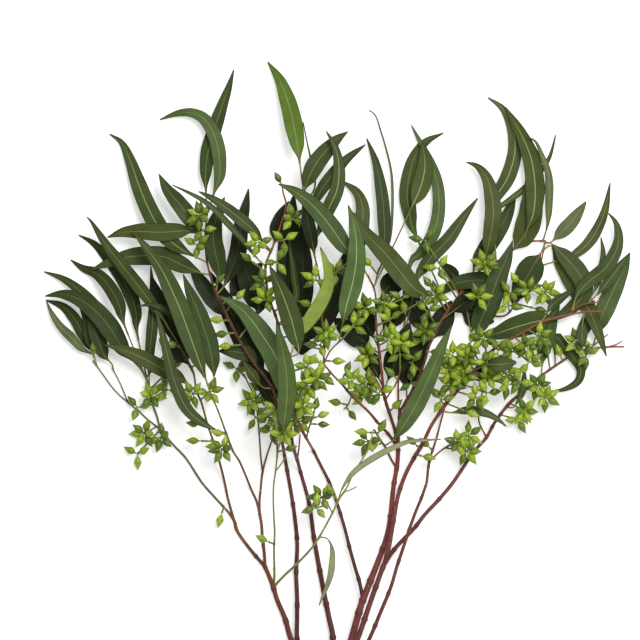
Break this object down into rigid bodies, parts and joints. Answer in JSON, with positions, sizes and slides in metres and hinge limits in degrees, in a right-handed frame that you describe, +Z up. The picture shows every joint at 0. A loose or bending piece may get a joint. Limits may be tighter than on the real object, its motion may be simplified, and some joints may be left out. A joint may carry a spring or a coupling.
{
  "type": "eucalyptus branch",
  "caption": "Cut branch of narrow-leaved eucalyptus with umbels of pointed green buds on red-brown stems, lying flat as laid on a table.",
  "frame": {"origin": "centre of the branch's bounding box on the surface that it lies on", "axes": "+Y from the cut end towards the foliage, +X to the right seen from above with the foliage away from the viewer, +Z up from the surface"},
  "size_m": [0.5927, 0.7037, 0.1225],
  "materials": {
    "bark": "thin smooth red-brown bark, satin, with small leaf scars",
    "leaf": "leathery living leaf, olive to blue-green, waxy satin, with a pale midrib",
    "bud": "fresh lime-green bud skin, smooth and slightly glossy"
  },
  "bodies": {
    "root": {"woody_base": "bark", "spray_far_left": "leaf", "spray_left": "leaf", "spray_left_inner": "leaf", "twig_left_low": "bud", "spray_right_low": "leaf", "twig_right_low": "bud", "spray_right_top": "leaf", "spray_middle": "leaf", "spray_upper_left": "leaf", "spray_centre_left": "leaf", "spray_right_far": "leaf", "spray_centre_top": "leaf", "spray_centre": "leaf", "twig_middle_low": "leaf", "twig_green_upright": "leaf", "twig_green_cross": "leaf"}
  },
  "joints": []
}
